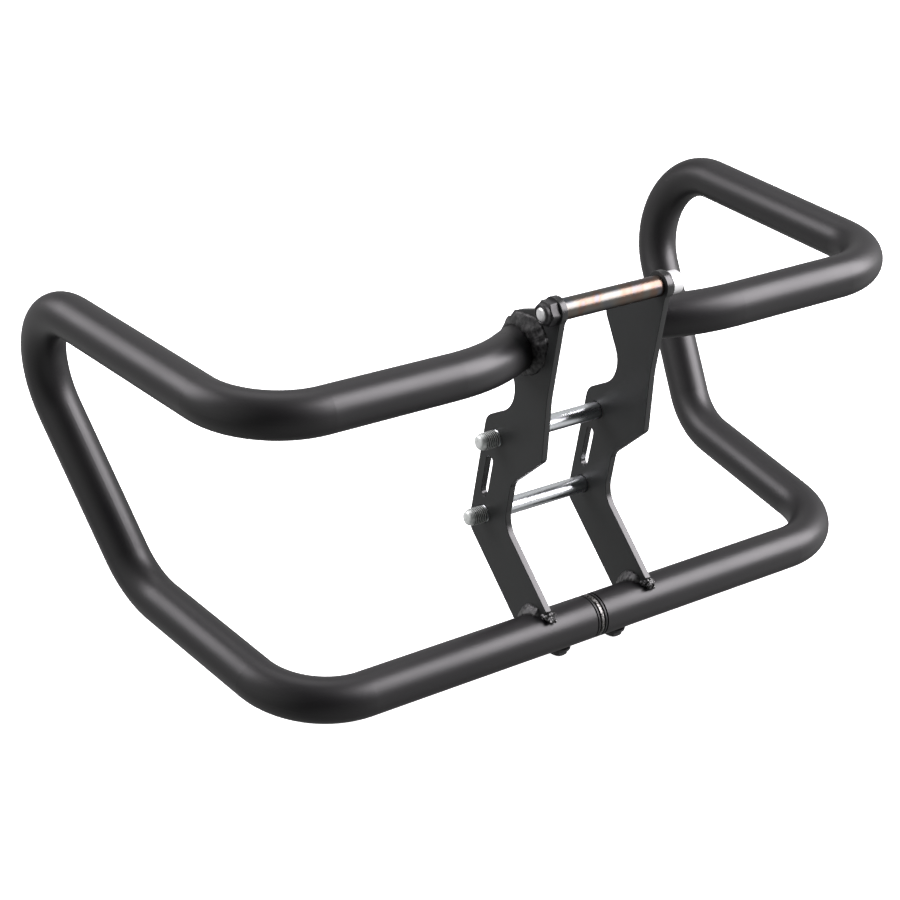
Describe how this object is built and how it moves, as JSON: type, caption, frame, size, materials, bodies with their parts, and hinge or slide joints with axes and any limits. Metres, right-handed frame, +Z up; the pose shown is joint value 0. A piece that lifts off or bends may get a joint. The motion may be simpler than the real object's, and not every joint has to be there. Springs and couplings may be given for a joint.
{
  "type": "motorcycle crash bars",
  "caption": "Engine guard of two bent black tube loops joined at the bottom, with a pair of plates that bolt either side of the engine's lugs.",
  "frame": {"origin": "midway between the two plates, on the axis of the lower engine bolt", "axes": "+X across the motorcycle along the engine bolts towards their heads, +Y to the rear, +Z up"},
  "size_m": [0.483, 0.2367, 0.219],
  "materials": {
    "tube_coat": "satin black powder coat on steel tube",
    "plate_coat": "matt black powder coat on laser-cut steel plate",
    "weld_coat": "black powder coat over a rough weld bead",
    "ring_coat": "black coated turned ring",
    "black_fasteners": "blackened steel",
    "bare_steel": "bare turned steel with heat tint",
    "bright_zinc": "bright zinc plated steel"
  },
  "bodies": {
    "root": {"tube_left": "tube_coat", "tube_right": "tube_coat", "plate_left": "plate_coat", "plate_right": "plate_coat", "upper_weld_left": "weld_coat", "upper_weld_right": "weld_coat", "foot_weld_left": "weld_coat", "foot_weld_right": "weld_coat", "joint_coupling": "bare_steel", "joint_ring_left": "ring_coat", "joint_ring_right": "ring_coat", "joint_bolt_left": "black_fasteners", "joint_bolt_right": "black_fasteners", "joint_washer_left": "black_fasteners", "joint_washer_right": "black_fasteners", "top_bolt": "bright_zinc", "top_washer": "black_fasteners", "top_spacer": "bare_steel", "top_nut": "black_fasteners", "engine_bolt_upper": "bright_zinc", "engine_bolt_lower": "bright_zinc", "engine_washer_upper": "bright_zinc", "engine_washer_lower": "bright_zinc"}
  },
  "joints": []
}
